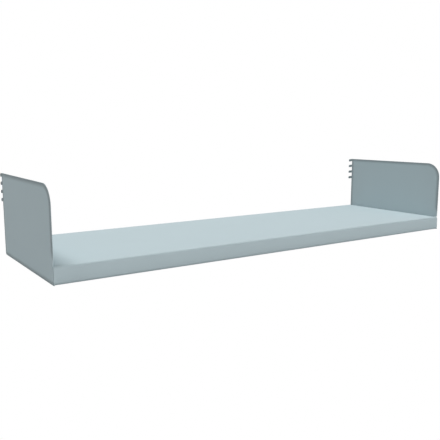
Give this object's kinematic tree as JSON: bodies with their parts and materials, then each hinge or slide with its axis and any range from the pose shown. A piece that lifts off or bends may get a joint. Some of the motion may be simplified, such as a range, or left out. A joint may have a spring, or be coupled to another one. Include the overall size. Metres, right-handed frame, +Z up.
{
  "type": "cantilever steel shelf",
  "caption": "Flat folded sheet shelf with upright end brackets and rear hooks that hang in a pair of slotted uprights.",
  "frame": {"origin": "centre of the underside of the bounding box, hooks included", "axes": "+X along the shelf to the right bracket, +Y to the rear where the hooks are, +Z up"},
  "size_m": [0.9, 0.2816, 0.15],
  "materials": {
    "powder_coat": "pale blue-grey powder coat, satin"
  },
  "bodies": {
    "root": {"shelf_pan": "powder_coat", "left_bracket": "powder_coat", "right_bracket": "powder_coat"}
  },
  "joints": []
}
